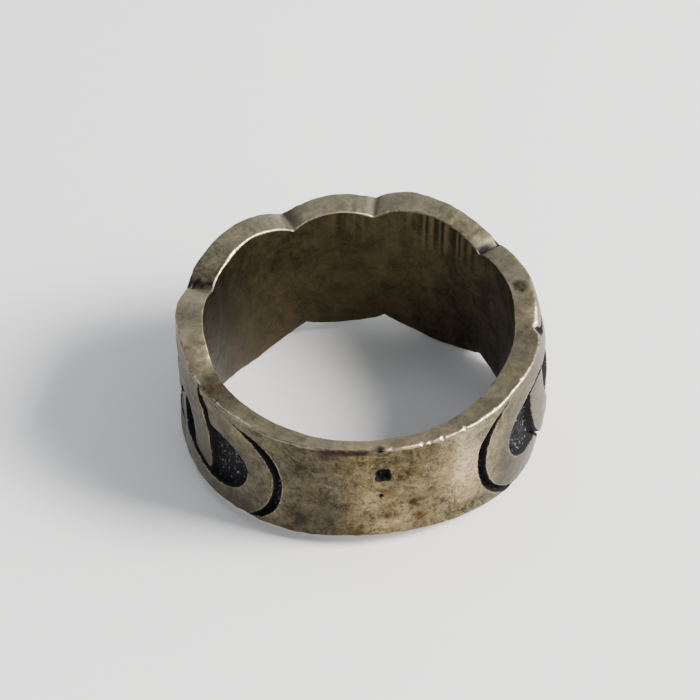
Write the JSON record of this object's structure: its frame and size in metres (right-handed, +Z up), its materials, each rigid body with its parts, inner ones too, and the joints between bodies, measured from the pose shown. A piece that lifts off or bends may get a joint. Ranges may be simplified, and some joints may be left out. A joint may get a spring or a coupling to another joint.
{
  "type": "band ring",
  "caption": "Wide cast finger ring with lobed edges and a raised interlace of strands round the front, narrowing to a plain shank at the back.",
  "frame": {"origin": "centre of the resting footprint, on the surface that the ring lies on", "axes": "+Z up, with the bore axis leaned 3.0 degrees from it towards -Y; +Y towards the middle of the interlace, -Y towards the plain shank, +X across"},
  "size_m": [0.0222, 0.022, 0.0108],
  "materials": {
    "band": "worn, tarnished white metal with blackened cells and grooves"
  },
  "bodies": {
    "root": {"band": "band"}
  },
  "joints": []
}
